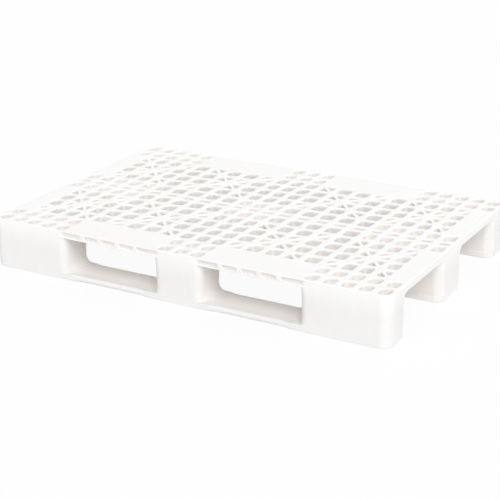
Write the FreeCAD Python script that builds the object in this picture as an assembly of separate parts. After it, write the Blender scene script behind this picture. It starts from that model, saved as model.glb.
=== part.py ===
import FreeCAD, Part
import math
import os

from FreeCAD import Vector

# Open-deck plastic pallet on three runners, for forks from all four sides.
# Millimetres. The origin is at the centre of the base, X runs along the
# runners, Y across them and Z is up. The deck sits on nine hollow feet, three
# to a runner, and every foot is screwed to the deck above and the runner below.

# ---------------------------------------------------------------- overall
LENGTH = 1200.0
WIDTH = 800.0
HEIGHT = 140.0
DECK_DEPTH = 20.0
RUNNER_DEPTH = 18.0
CORNER_RADIUS = 30.0          # upright corners of the whole pallet
END_EDGE_RADIUS = 28.0        # upright edges inside the pallet's two ends
SIDE_EDGE_RADIUS = 22.0       # upright edges of the feet along the two long sides
INNER_EDGE_RADIUS = 12.0      # upright edges of the feet inside the plan
DECK_EDGE_RADIUS = 2.5        # round along the deck's top edge
BASE_EDGE_RADIUS = 3.0        # round along a runner's bottom edge

# ---------------------------------------------------------------- feet
END_FOOT_LENGTH = 245.0
MIDDLE_FOOT_LENGTH = 146.0
SIDE_FOOT_WIDTH = 104.0
MIDDLE_FOOT_WIDTH = 144.0
FOOT_WALL = 4.0
FOOT_RIB = 4.0
FOOT_TOP_PLATE = 5.0
FOOT_TAPER = 2.0              # how much each inner side draws in towards the base
FLARE_LIP = 2.0               # thickness of a flare at its thin edge
BASE_FLARE_RADIUS = 24.0      # spreads a foot onto the runner, growing inwards from its long side
HEAD_FLARE_WIDTH = 16.0       # spreads a foot's inner faces under the deck
HEAD_FLARE_HEIGHT = 38.0
FLARE_STEPS = 7

# ---------------------------------------------------------------- deck grid
END_COLUMNS = 5
BAY_COLUMNS = 5
MIDDLE_COLUMNS = 3
SIDE_ROWS = 2
FIELD_ROWS = 4
ROW_OVERHANG = 2.0            # how far the rows over a side foot run past it
END_MARGIN = 2.25             # plain margin outside the end columns
SLOT_ROW_WIDTH = 32.0         # the row of narrow slots along the middle
FOOT_BAR = 17.0               # bars between the columns over a foot
BAY_BAR = 18.5                # bars between the columns over a fork bay
FIELD_BAR = 14.0              # bars between the rows
SIDE_BAR = 17.0               # bars between the rows over a side foot
SLOT_BAR = 17.0               # bars beside the middle slots
CELL_RADIUS = 7.0
SLOT_RADIUS = 5.0
STAR_RIB = 11.0               # diagonal ribs of the eight stars
STAR_RADIUS = 3.0
DECK_SKIN = 5.0               # deck plate above the cores in its underside
CORE_WIDTH = 10.0             # channels that hollow the side-to-side bars from below

# ---------------------------------------------------------------- deck sides
PANEL_RECESS = 8.0            # sunk panels along the deck's long sides
PANEL_HEIGHT = 12.0
PANEL_LEDGE = 5.5             # edge left under each sunk panel
PANEL_RIB = 14.0              # upright rib left between two panels
PANEL_WALL = 4.0              # wall between a sunk panel and the core behind it
PANEL_RADIUS = 2.0

# ---------------------------------------------------------------- runners
RUNNER_PLATE = 5.0
RUNNER_RAIL = 13.0            # solid rail along each long edge
RUNNER_RIB = 4.0
RUNNER_ROUND = 8.0            # top edges between the feet
RUNNER_CHAMFER = 10.0         # bottom edges between the feet
RUNNER_RAMP = 26.0            # length over which those edges fade out

# ---------------------------------------------------------------- screws
SCREW_DIAMETER = 5.0
SCREW_LENGTH = 20.0           # under the head
SCREW_HEAD_DIAMETER = 10.0
SCREW_HEAD_HEIGHT = 3.0
DRIVE_ACROSS = 4.0            # square drive recess
DRIVE_DEPTH = 1.8
PILOT_CLEARANCE = 0.1         # on the radius, between screw and plastic
HOLE_CLEARANCE = 0.4          # on the radius, where a screw passes through
HEAD_CLEARANCE = 1.0          # on the radius, around a screw head
PILOT_SPARE = 2.0             # depth of pilot hole past the screw's tip
BOSS_WALL = 4.0
POST_INSET = 22.0             # runner screws, in from a foot's faces along the runner

# ---------------------------------------------------------------- worked out
DECK_BASE = HEIGHT - DECK_DEPTH
PLATE_BASE = DECK_BASE - FOOT_TOP_PLATE
HALF_LENGTH = LENGTH / 2
HALF_WIDTH = WIDTH / 2
END_FOOT_INNER = HALF_LENGTH - END_FOOT_LENGTH
SIDE_FOOT_INNER = HALF_WIDTH - SIDE_FOOT_WIDTH
PILOT_RADIUS = SCREW_DIAMETER / 2 + PILOT_CLEARANCE
THROUGH_RADIUS = SCREW_DIAMETER / 2 + HOLE_CLEARANCE
WELL_RADIUS = SCREW_HEAD_DIAMETER / 2 + HEAD_CLEARANCE
BOSS_RADIUS = PILOT_RADIUS + BOSS_WALL
CORE_REACH = HALF_WIDTH - PANEL_RECESS - PANEL_WALL
RUNNER_SEAT = RUNNER_DEPTH - RUNNER_PLATE
OVERCUT = 2.0                 # how far a cutter reaches past the face it cuts


def spaced(start, stop, count):
    """Evenly spaced grid lines after start, up to and including stop."""
    return [start + (stop - start) * step / count for step in range(1, count + 1)]


def mirrored(lines):
    """The same distances on both sides of the centre, in rising order."""
    return sorted([-line for line in lines] + list(lines))


def column_lines():
    half_middle = MIDDLE_FOOT_LENGTH / 2
    lines = [half_middle / MIDDLE_COLUMNS, half_middle]
    lines += spaced(half_middle, END_FOOT_INNER, BAY_COLUMNS)
    lines += spaced(END_FOOT_INNER, HALF_LENGTH - END_MARGIN, END_COLUMNS)
    return mirrored(lines)


def row_lines():
    slot_edge = SLOT_ROW_WIDTH / 2
    middle_edge = MIDDLE_FOOT_WIDTH / 2
    side_edge = SIDE_FOOT_INNER - ROW_OVERHANG
    lines = [slot_edge, middle_edge]
    lines += spaced(middle_edge, side_edge, FIELD_ROWS)
    lines += spaced(side_edge, HALF_WIDTH, SIDE_ROWS)
    return mirrored(lines)


COLUMNS = column_lines()
ROWS = row_lines()
LAST_COLUMN = len(COLUMNS) - 2
LAST_ROW = len(ROWS) - 2


# ---------------------------------------------------------------- outlines
def rounded_polygon(points, radii, z):
    """A closed wire through the points, with each corner rounded."""
    count = len(points)
    arcs = []
    for index in range(count):
        corner = Vector(points[index][0], points[index][1], z)
        before = Vector(points[index - 1][0], points[index - 1][1], z) - corner
        following = points[(index + 1) % count]
        after = Vector(following[0], following[1], z) - corner
        before.normalize()
        after.normalize()
        half_angle = before.getAngle(after) / 2
        reach = radii[index] / math.tan(half_angle)
        inward = before + after
        inward.normalize()
        to_arc = radii[index] / math.sin(half_angle) - radii[index]
        arcs.append((corner + before * reach, corner + inward * to_arc, corner + after * reach))
    edges = []
    for index in range(count):
        entry, middle, leave = arcs[index]
        next_entry = arcs[(index + 1) % count][0]
        edges.append(Part.Arc(entry, middle, leave).toShape())
        edges.append(Part.makeLine(leave, next_entry))
    return Part.Wire(edges)


def rounded_rectangle(plan, radius, z):
    """A level wire round a plan (x0, x1, y0, y1), with equal corners."""
    return rounded_polygon(corners_of(plan), [radius] * 4, z)


def raised(wire, height):
    return Part.Face(wire).extrude(Vector(0, 0, height))


def box_between(x0, x1, y0, y1, z0, z1):
    return Part.makeBox(x1 - x0, y1 - y0, z1 - z0, Vector(x0, y0, z0))


def upright(radius, x, y, z0, z1):
    return Part.makeCylinder(radius, z1 - z0, Vector(x, y, z0))


def corners_of(plan):
    """The corners of a plan (x0, x1, y0, y1), going round from the lowest."""
    x0, x1, y0, y1 = plan
    return [(x0, y0), (x1, y0), (x1, y1), (x0, y1)]


def corner_radius(x, y):
    """Corners are rounded by where they lie: on an end, a long side, both or neither."""
    on_end = abs(x) >= HALF_LENGTH
    on_side = abs(y) >= HALF_WIDTH
    if on_end and on_side:
        return CORNER_RADIUS
    if on_end:
        return END_EDGE_RADIUS
    return SIDE_EDGE_RADIUS if on_side else INNER_EDGE_RADIUS


# ---------------------------------------------------------------- deck
def zone(index, last, sizes):
    """Which band a column or row lies in, counted from the outside inwards."""
    inward = min(index, last - index)
    for number, size in enumerate(sizes):
        if inward < size:
            return number
        inward -= size
    return len(sizes)


def column_zone(column):
    """0 over an end foot, 1 over a fork bay, 2 over a middle foot."""
    return zone(column, LAST_COLUMN, [END_COLUMNS, BAY_COLUMNS])


def row_zone(row):
    """0 over a side foot, 1 in the open field, 2 over the middle runner."""
    return zone(row, LAST_ROW, [SIDE_ROWS, FIELD_ROWS])


def is_open(column, row):
    """Whether a cell goes right through the deck's skin."""
    if row_zone(row) == 0:
        return column_zone(column) != 1
    if row_zone(row) == 1:
        return 0 < column < LAST_COLUMN
    return True


def star_diagonal(column, row):
    """+1 or -1 where a diagonal rib crosses the cell, rising or falling, else 0."""
    if row_zone(row) != 1:
        return 0
    across = column if column <= LAST_COLUMN / 2 else LAST_COLUMN - column
    first_columns = {0: END_COLUMNS - FIELD_ROWS, 1: END_COLUMNS + BAY_COLUMNS - FIELD_ROWS}
    if column_zone(column) not in first_columns:
        return 0
    step_x = across - first_columns[column_zone(column)]
    if step_x < 0:
        return 0
    up = row if row <= LAST_ROW / 2 else LAST_ROW - row
    step_y = up - SIDE_ROWS
    turn = 1 if (column <= LAST_COLUMN / 2) == (row <= LAST_ROW / 2) else -1
    if step_x == step_y:
        return turn
    if step_x + step_y == FIELD_ROWS - 1:
        return -turn
    return 0


def cell_rectangle(column, row):
    """The hole's corners (x0, x1, y0, y1) and its corner radius."""
    bar_x = BAY_BAR if column_zone(column) == 1 else FOOT_BAR
    middle_row = row == LAST_ROW // 2
    bar_y = {0: SIDE_BAR, 1: FIELD_BAR, 2: FIELD_BAR}[row_zone(row)]
    if middle_row:
        bar_y = SLOT_BAR
    radius = SLOT_RADIUS if middle_row else CELL_RADIUS
    x0 = COLUMNS[column] + bar_x / 2
    x1 = COLUMNS[column + 1] - bar_x / 2
    y0 = ROWS[row] + bar_y / 2
    y1 = ROWS[row + 1] - bar_y / 2
    return x0, x1, y0, y1, radius


def star_triangles(column, row, diagonal):
    """Corner points of the two holes left beside a diagonal rib."""
    x0, x1, y0, y1, _ = cell_rectangle(column, row)
    centre_x = (x0 + x1) / 2
    centre_y = (y0 + y1) / 2
    half_x = (x1 - x0) / 2
    half_y = (y1 - y0) / 2
    angle = math.atan2(ROWS[row + 1] - ROWS[row], COLUMNS[column + 1] - COLUMNS[column])
    along_x = (math.cos(angle) * half_y - STAR_RIB / 2) / math.sin(angle)
    along_y = (STAR_RIB / 2 - math.sin(angle) * half_x) / math.cos(angle)
    upper = [(-half_x, half_y), (-half_x, along_y), (along_x, half_y)]
    lower = [(-x, -y) for x, y in upper]
    return [[(centre_x + diagonal * x, centre_y + y) for x, y in corners]
            for corners in (upper, lower)]


def cell_wires(column, row):
    """Outlines of a cell's hole, or of its two holes beside a diagonal rib."""
    diagonal = star_diagonal(column, row)
    if diagonal:
        return [rounded_polygon(corners, [STAR_RADIUS] * 3, DECK_BASE)
                for corners in star_triangles(column, row, diagonal)]
    *plan, radius = cell_rectangle(column, row)
    return [rounded_rectangle(plan, radius, DECK_BASE)]


def all_cells():
    return [(column, row) for column in range(LAST_COLUMN + 1) for row in range(LAST_ROW + 1)]


def slab_with_open_cells():
    """The deck's outline with the through cells, raised in one piece."""
    outline = rounded_rectangle((-HALF_LENGTH, HALF_LENGTH, -HALF_WIDTH, HALF_WIDTH),
                                CORNER_RADIUS, DECK_BASE)
    holes = [wire for cell in all_cells() if is_open(*cell) for wire in cell_wires(*cell)]
    facing = Part.Face(outline).normalAt(0, 0)
    for hole in holes:
        if Part.Face(hole).normalAt(0, 0).dot(facing) > 0:
            hole.reverse()
    slab = Part.Face([outline] + holes).extrude(Vector(0, 0, DECK_DEPTH))
    rim = [edge for edge in slab.Edges if edge.BoundBox.ZMin > HEIGHT - 1e-3
           and (edge.BoundBox.XMax > HALF_LENGTH - 1e-3 or edge.BoundBox.XMin < 1e-3 - HALF_LENGTH
                or edge.BoundBox.YMax > HALF_WIDTH - 1e-3 or edge.BoundBox.YMin < 1e-3 - HALF_WIDTH)]
    return slab.makeFillet(DECK_EDGE_RADIUS, rim)


def blind_cells():
    """Where the skin is closed, the cell is only a core in the underside."""
    cores = []
    for column, row in all_cells():
        if is_open(column, row):
            continue
        x0, x1, y0, y1, radius = cell_rectangle(column, row)
        plan = (x0, x1, max(y0, -CORE_REACH), min(y1, CORE_REACH))
        cores.append(raised(rounded_rectangle(plan, radius, DECK_BASE), DECK_DEPTH - DECK_SKIN))
    return cores


def bar_cores(bosses):
    """Channels in the underside that hollow the side-to-side bars, clear of the bosses."""
    cores = []
    for x in COLUMNS[1:-1]:
        core = box_between(x - CORE_WIDTH / 2, x + CORE_WIDTH / 2, -CORE_REACH, CORE_REACH,
                           DECK_BASE, HEIGHT - DECK_SKIN)
        cores.append(core.cut(bosses))
    return cores


def panel_spans():
    """Where the sunk panels lie along a long side; the outer ones overlap the feet's edges."""
    spans = []
    for column in range(LAST_COLUMN + 1):
        if column_zone(column) != 1:
            continue
        after_foot = column_zone(column - 1) != 1
        before_foot = column_zone(column + 1) != 1
        start = COLUMNS[column] + (-SIDE_EDGE_RADIUS if after_foot else PANEL_RIB / 2)
        stop = COLUMNS[column + 1] + (SIDE_EDGE_RADIUS if before_foot else -PANEL_RIB / 2)
        spans.append((start, stop))
    return spans


def side_panels():
    """Cutters for the sunk panels in the deck's long sides, over the fork bays.

    The outer panels of a bay end at the rounded upright edge of a foot, carried up.
    """
    base = DECK_BASE + PANEL_LEDGE
    edges = [raised(plan_outline(plan), DECK_DEPTH) for _, plan in feet()]
    panels = []
    for x0, x1 in panel_spans():
        outline = rounded_rectangle((x0, x1, base, base + PANEL_HEIGHT), PANEL_RADIUS, 0)
        for side in (-1, 1):
            panel = raised(outline, 2 * PANEL_RECESS)
            panel.translate(Vector(0, 0, -PANEL_RECESS))
            panel.rotate(Vector(0, 0, 0), Vector(1, 0, 0), 90)
            panel.translate(Vector(0, side * HALF_WIDTH, 0))
            panels.append(panel.cut(edges))
    return panels


def plan_outline(plan):
    """The level outline of a foot's plan where it meets the deck."""
    corners = corners_of(plan)
    return rounded_polygon(corners, [corner_radius(*corner) for corner in corners], DECK_BASE)


def make_deck():
    points = [point for foot in feet() for point in well_points(foot)]
    bosses = [upright(BOSS_RADIUS, x, y, DECK_BASE, HEIGHT) for x, y in points]
    pilot_top = PLATE_BASE + SCREW_LENGTH + PILOT_SPARE
    pilots = [upright(PILOT_RADIUS, x, y, DECK_BASE, pilot_top) for x, y in points]
    hollows = blind_cells() + bar_cores(bosses) + side_panels() + pilots
    return slab_with_open_cells().cut(hollows)


# ---------------------------------------------------------------- feet
def feet():
    """Each foot's name and plan (x0, x1, y0, y1) under the deck."""
    half_middle = MIDDLE_FOOT_LENGTH / 2
    spans = {"left": (-HALF_LENGTH, -END_FOOT_INNER),
             "centre": (-half_middle, half_middle),
             "right": (END_FOOT_INNER, HALF_LENGTH)}
    return [(row + "_" + column, spans[column] + lane)
            for row, lane in lanes().items() for column in spans]


def lanes():
    """Where each runner, and its feet, lie across the pallet."""
    half_middle = MIDDLE_FOOT_WIDTH / 2
    return {"front": (-HALF_WIDTH, -SIDE_FOOT_INNER),
            "middle": (-half_middle, half_middle),
            "rear": (SIDE_FOOT_INNER, HALF_WIDTH)}


def lines_inside(lines, low, high):
    """Grid lines that cross a foot clear of its walls."""
    return [line for line in lines if low + 2 * WELL_RADIUS < line < high - 2 * WELL_RADIUS]


def well_points(foot):
    """Deck screws: where the outermost ribs of the foot cross."""
    x0, x1, y0, y1 = foot[1]
    across = lines_inside(COLUMNS, x0, x1)
    along = lines_inside(ROWS, y0, y1)
    return [(across[0], along[0]), (across[-1], along[-1])]


def post_points(foot):
    """Runner screws: on the same ribs, close to the foot's two faces."""
    x0, x1, y0, y1 = foot[1]
    across = lines_inside(COLUMNS, x0, x1)
    return [(across[0], y1 - POST_INSET), (across[-1], y0 + POST_INSET)]


def flare_profile():
    """Heights of a foot's sections, each with its base flare and head flare (0 to 1)."""
    base = RUNNER_DEPTH + FLARE_LIP
    head = DECK_BASE - FLARE_LIP
    angles = [math.pi / 2 * step / FLARE_STEPS for step in range(FLARE_STEPS + 1)]
    rise = [(base + BASE_FLARE_RADIUS * (1 - math.cos(angle)), 1 - math.sin(angle), 0)
            for angle in angles]
    fall = [(head - HEAD_FLARE_HEIGHT * (1 - math.cos(angle)), 0, 1 - math.sin(angle))
            for angle in reversed(angles)]
    return [(RUNNER_DEPTH, 1, 0)] + rise + fall + [(DECK_BASE, 0, 1)]


def foot_section(plan, z, base_flare, head_flare, inset):
    """A level outline of a foot, drawn in by inset from the faces of its solid.

    Faces on the pallet's own sides and ends stay upright. The others taper, and the
    corners inside the plan also carry the flares.
    """
    taper = FOOT_TAPER * (DECK_BASE - z) / (DECK_BASE - RUNNER_DEPTH)
    middle_x = (plan[0] + plan[1]) / 2
    middle_y = (plan[2] + plan[3]) / 2
    head = HEAD_FLARE_WIDTH * head_flare
    corners = []
    radii = []
    for x, y in corners_of(plan):
        out_x = -inset
        out_y = -inset
        if abs(x) < HALF_LENGTH:
            out_x -= taper
            if abs(y) < HALF_WIDTH:
                out_x += head + BASE_FLARE_RADIUS * base_flare
        if abs(y) < HALF_WIDTH:
            out_y += head - taper
        corners.append((x + out_x * math.copysign(1, x - middle_x),
                        y + out_y * math.copysign(1, y - middle_y)))
        radii.append(max(corner_radius(x, y) - inset, STAR_RADIUS))
    return rounded_polygon(corners, radii, z)


def make_foot(foot):
    plan = foot[1]
    x0, x1, y0, y1 = plan
    body = Part.makeLoft([foot_section(plan, z, base, head, 0)
                          for z, base, head in flare_profile()], True, True)
    inside = Part.makeLoft([foot_section(plan, z, 0, 0, FOOT_WALL)
                            for z in (RUNNER_DEPTH, PLATE_BASE)], True, True)
    half_rib = FOOT_RIB / 2
    ribs = [box_between(x - half_rib, x + half_rib, y0, y1, RUNNER_DEPTH, PLATE_BASE)
            for x in lines_inside(COLUMNS, x0, x1)]
    ribs += [box_between(x0, x1, y - half_rib, y + half_rib, RUNNER_DEPTH, PLATE_BASE)
             for y in lines_inside(ROWS, y0, y1)]
    wells = [upright(WELL_RADIUS + BOSS_WALL, x, y, RUNNER_DEPTH, PLATE_BASE)
             for x, y in well_points(foot)]
    posts = [upright(BOSS_RADIUS, x, y, RUNNER_DEPTH, PLATE_BASE) for x, y in post_points(foot)]
    hollow = inside.cut(ribs + wells + posts)
    bores = [upright(WELL_RADIUS, x, y, RUNNER_DEPTH, PLATE_BASE) for x, y in well_points(foot)]
    bores += [upright(THROUGH_RADIUS, x, y, PLATE_BASE, DECK_BASE) for x, y in well_points(foot)]
    pilot_top = RUNNER_SEAT + SCREW_LENGTH + PILOT_SPARE
    bores += [upright(PILOT_RADIUS, x, y, RUNNER_DEPTH, pilot_top) for x, y in post_points(foot)]
    return body.cut([hollow] + bores)


# ---------------------------------------------------------------- runners
def edge_cutter(section, x_from, x_to):
    """A cutter along X whose section fades to its first point at both ends."""
    def placed(x):
        return [Vector(x, y, z) for y, z in section]

    tips = [Part.Vertex(placed(x)[0]) for x in (x_from, x_to)]
    inner = [Part.makePolygon(placed(x) + placed(x)[:1])
             for x in (x_from + RUNNER_RAMP, x_to - RUNNER_RAMP)]
    return Part.makeLoft([tips[0]] + inner + [tips[1]], True, True)


def round_section(edge, inward):
    """What is cut off a top edge, with the round as short chords."""
    angles = [math.pi / 2 * step / FLARE_STEPS for step in range(FLARE_STEPS + 1)]
    low = RUNNER_DEPTH - RUNNER_ROUND
    curve = [(edge + inward * RUNNER_ROUND * (1 - math.cos(angle)),
              low + RUNNER_ROUND * math.sin(angle)) for angle in angles]
    outside = edge - inward * OVERCUT
    above = RUNNER_DEPTH + OVERCUT
    return [(outside, above), (outside, low)] + curve + [(edge + inward * RUNNER_ROUND, above)]


def chamfer_section(edge, inward):
    """What is cut off a bottom edge."""
    outside = edge - inward * OVERCUT
    return [(outside, -OVERCUT), (outside, RUNNER_CHAMFER + OVERCUT),
            (edge + inward * (RUNNER_CHAMFER + OVERCUT), -OVERCUT)]


def bays():
    """The stretches of runner between the feet's flares."""
    near = MIDDLE_FOOT_LENGTH / 2 + BASE_FLARE_RADIUS
    far = END_FOOT_INNER - BASE_FLARE_RADIUS
    return [(-far, -near), (near, far)]


def make_runner(row):
    y0, y1 = lanes()[row]
    corners = corners_of((-HALF_LENGTH, HALF_LENGTH, y0, y1))
    outline = rounded_polygon(corners, [corner_radius(*corner) for corner in corners], 0)
    bar = raised(outline, RUNNER_DEPTH)
    base_edges = [edge for edge in bar.Edges if edge.BoundBox.ZMax < 1e-3]
    bar = bar.makeFillet(BASE_EDGE_RADIUS, base_edges)
    points = [point for foot in feet() if foot[0].startswith(row) for point in post_points(foot)]
    rail_x = HALF_LENGTH - RUNNER_RAIL
    half_rib = RUNNER_RIB / 2
    middle = (y0 + y1) / 2
    hollow = box_between(-rail_x, rail_x, y0 + RUNNER_RAIL, y1 - RUNNER_RAIL, 0, RUNNER_SEAT)
    ribs = [box_between(x - half_rib, x + half_rib, y0, y1, 0, RUNNER_SEAT)
            for x in COLUMNS[1:-1]]
    ribs.append(box_between(-rail_x, rail_x, middle - half_rib, middle + half_rib,
                            0, RUNNER_SEAT))
    rings = [upright(WELL_RADIUS + BOSS_WALL, x, y, 0, RUNNER_SEAT) for x, y in points]
    cutters = [hollow.cut(ribs + rings)]
    cutters += [upright(WELL_RADIUS, x, y, 0, RUNNER_SEAT) for x, y in points]
    cutters += [upright(THROUGH_RADIUS, x, y, RUNNER_SEAT, RUNNER_DEPTH) for x, y in points]
    for start, stop in bays():
        for edge, inward in ((y0, 1), (y1, -1)):
            cutters.append(edge_cutter(round_section(edge, inward), start, stop))
            cutters.append(edge_cutter(chamfer_section(edge, inward), start, stop))
    return bar.cut(cutters)


# ---------------------------------------------------------------- screws
def make_screw(x, y, seat):
    """A self-tapping screw driven upwards, with its head under the seat."""
    tip = SCREW_DIAMETER / 2
    head = upright(SCREW_HEAD_DIAMETER / 2, x, y, seat - SCREW_HEAD_HEIGHT, seat)
    shank = upright(SCREW_DIAMETER / 2, x, y, seat, seat + SCREW_LENGTH - tip)
    point = Part.makeCone(SCREW_DIAMETER / 2, SCREW_DIAMETER / 4, tip,
                          Vector(x, y, seat + SCREW_LENGTH - tip))
    half = DRIVE_ACROSS / 2
    base = seat - SCREW_HEAD_HEIGHT
    drive = box_between(x - half, x + half, y - half, y + half, base, base + DRIVE_DEPTH)
    return head.fuse([shank, point]).cut(drive)


def make_screws(points, seat):
    return Part.makeCompound([make_screw(x, y, seat) for x, y in points])


# ---------------------------------------------------------------- assembly
def build():
    nodes = {"deck": make_deck()}
    for row in lanes():
        nodes["runner_" + row] = make_runner(row)
    for foot in feet():
        name = foot[0]
        nodes["foot_" + name] = make_foot(foot)
        nodes["deck_screws_" + name] = make_screws(well_points(foot), PLATE_BASE)
        nodes["runner_screws_" + name] = make_screws(post_points(foot), RUNNER_SEAT)
    return nodes


os.makedirs("parts", exist_ok=True)
for node, shape in build().items():
    shape.exportStep(os.path.join("parts", node + ".step"))
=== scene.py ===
import math

import bmesh
import bpy
from mathutils import Matrix, Vector
from mathutils.geometry import delaunay_2d_cdt


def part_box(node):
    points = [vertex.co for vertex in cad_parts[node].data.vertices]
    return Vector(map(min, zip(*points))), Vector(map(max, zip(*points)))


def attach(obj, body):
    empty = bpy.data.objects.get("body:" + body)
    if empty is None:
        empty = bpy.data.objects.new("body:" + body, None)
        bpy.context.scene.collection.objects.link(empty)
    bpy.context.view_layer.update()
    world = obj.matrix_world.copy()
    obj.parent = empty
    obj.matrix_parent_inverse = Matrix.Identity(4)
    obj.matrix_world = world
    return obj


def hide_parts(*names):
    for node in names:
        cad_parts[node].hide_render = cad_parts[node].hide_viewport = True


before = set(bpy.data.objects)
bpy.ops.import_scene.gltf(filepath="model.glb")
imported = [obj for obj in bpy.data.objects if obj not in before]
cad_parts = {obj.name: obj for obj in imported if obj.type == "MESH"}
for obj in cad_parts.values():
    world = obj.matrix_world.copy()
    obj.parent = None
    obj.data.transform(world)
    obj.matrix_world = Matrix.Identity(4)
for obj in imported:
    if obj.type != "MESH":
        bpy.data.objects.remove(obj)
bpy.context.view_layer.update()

# An open-deck plastic pallet on three runners, moulded in white polyethylene.
# Metres. X runs along the runners, Y across them and Z is up from the floor.
MM = 0.001

# ---------------------------------------------------------------- sizes from the frame
DECK_LOW, DECK_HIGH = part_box("deck")
HALF_LENGTH = DECK_HIGH[0]
HALF_WIDTH = DECK_HIGH[1]
DECK_TOP = DECK_HIGH[2]
DECK_BASE = DECK_LOW[2]
RUNNER_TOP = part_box("runner_front")[1][2]
ROW_NAMES = ("front", "middle", "rear")
COLUMN_NAMES = ("left", "centre", "right")
LANES = {row: (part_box("runner_" + row)[0][1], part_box("runner_" + row)[1][1]) for row in ROW_NAMES}
SIDE_FOOT_INNER = LANES["rear"][0]
MIDDLE_FOOT_HALF_WIDTH = LANES["middle"][1]

# ---------------------------------------------------------------- plan of the feet
END_FOOT_LENGTH = 245 * MM
MIDDLE_FOOT_LENGTH = 146 * MM
END_FOOT_INNER = HALF_LENGTH - END_FOOT_LENGTH
CORNER_RADIUS = 30 * MM
END_EDGE_RADIUS = 28 * MM
SIDE_EDGE_RADIUS = 22 * MM
INNER_EDGE_RADIUS = 12 * MM
FOOT_TAPER = 2 * MM
FLARE_LIP = 2 * MM
BASE_FLARE_RADIUS = 24 * MM
HEAD_FLARE_WIDTH = 16 * MM
HEAD_FLARE_HEIGHT = 38 * MM
FLARE_STEPS = 9

# ---------------------------------------------------------------- deck grid
END_COLUMNS = 5
BAY_COLUMNS = 5
MIDDLE_COLUMNS = 3
SIDE_ROWS = 2
FIELD_ROWS = 4
ROW_OVERHANG = 2 * MM
END_MARGIN = 2.25 * MM
SLOT_ROW_WIDTH = 32 * MM
FOOT_BAR = 17 * MM
BAY_BAR = 18.5 * MM
FIELD_BAR = 14 * MM
SIDE_BAR = 17 * MM
SLOT_BAR = 17 * MM
CELL_RADIUS = 10 * MM
SLOT_RADIUS = 5 * MM
STAR_RIB = 11 * MM
STAR_RADIUS = 3 * MM
DECK_SKIN = 5 * MM
CORE_WIDTH = 10 * MM
CELL_RIM = 3 * MM
DECK_EDGE_RADIUS = 2.5 * MM

# ---------------------------------------------------------------- deck sides
PANEL_RECESS = 5 * MM
PANEL_WALL = 7 * MM
PANEL_HEIGHT = 12.8 * MM
PANEL_LEDGE = 3.5 * MM
PANEL_RIB = 14 * MM
PANEL_RADIUS = 2 * MM
PANEL_RIM = 0.9 * MM
PANEL_STEPS = 6
CORE_REACH = HALF_WIDTH - PANEL_RECESS - PANEL_WALL

# ---------------------------------------------------------------- runners and bosses
RUNNER_PLATE = 5 * MM
RUNNER_RAIL = 13 * MM
RUNNER_RIB = 4 * MM
RUNNER_ROUND = 8 * MM
RUNNER_CHAMFER = 10 * MM
RUNNER_RAMP = 26 * MM
RUNNER_STEP = 12 * MM
BASE_EDGE_RADIUS = 3 * MM
POCKET_RADIUS = 3 * MM
WELL_RADIUS = 6 * MM
DECK_BOSS_RADIUS = 6.6 * MM
BOSS_WALL = 4 * MM
POST_INSET = 22 * MM

# ---------------------------------------------------------------- mesh steps
ARC_STEPS = 5
EDGE_ARC_STEPS = 8
DISC_STEPS = 24
CELL_RIM_STEPS = 3
PANEL_RIM_STEPS = 2
DECK_EDGE_STEPS = 4
BASE_EDGE_STEPS = 3
RUNNER_ROUND_STEPS = 6
RUNNER_CHAMFER_LEVELS = (4.5 * MM, 6.5 * MM, 8.5 * MM)
SMOOTH_ANGLE = math.radians(50)
PLAN_TOLERANCE = 1 * MM
WELD_DISTANCE = 0.005 * MM
TERRACE_TOLERANCE = 1e-7
INSIDE_ONLY = 1                         # the triangulation keeps no face outside its loops


# ---------------------------------------------------------------- grid
def spaced(start, stop, count):
    return [start + (stop - start) * step / count for step in range(1, count + 1)]


def mirrored(lines):
    return sorted([-line for line in lines] + list(lines))


def column_lines():
    half_middle = MIDDLE_FOOT_LENGTH / 2
    lines = [half_middle / MIDDLE_COLUMNS, half_middle]
    lines += spaced(half_middle, END_FOOT_INNER, BAY_COLUMNS)
    lines += spaced(END_FOOT_INNER, HALF_LENGTH - END_MARGIN, END_COLUMNS)
    return mirrored(lines)


def row_lines():
    side_edge = SIDE_FOOT_INNER - ROW_OVERHANG
    lines = [SLOT_ROW_WIDTH / 2, MIDDLE_FOOT_HALF_WIDTH]
    lines += spaced(MIDDLE_FOOT_HALF_WIDTH, side_edge, FIELD_ROWS)
    lines += spaced(side_edge, HALF_WIDTH, SIDE_ROWS)
    return mirrored(lines)


COLUMNS = column_lines()
ROWS = row_lines()
LAST_COLUMN = len(COLUMNS) - 2
LAST_ROW = len(ROWS) - 2
ALL_CELLS = [(column, row) for column in range(LAST_COLUMN + 1) for row in range(LAST_ROW + 1)]


def zone(index, last, sizes):
    """Which band a column or row lies in, counted from the outside inwards."""
    inward = min(index, last - index)
    for number, size in enumerate(sizes):
        if inward < size:
            return number
        inward -= size
    return len(sizes)


def column_zone(column):
    """0 over an end foot, 1 over a fork bay, 2 over a middle foot."""
    return zone(column, LAST_COLUMN, [END_COLUMNS, BAY_COLUMNS])


def row_zone(row):
    """0 over a side foot, 1 in the open field, 2 over the middle runner."""
    return zone(row, LAST_ROW, [SIDE_ROWS, FIELD_ROWS])


def is_open(column, row):
    if row_zone(row) == 0:
        return column_zone(column) != 1
    if row_zone(row) == 1:
        return 0 < column < LAST_COLUMN
    return True


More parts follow.
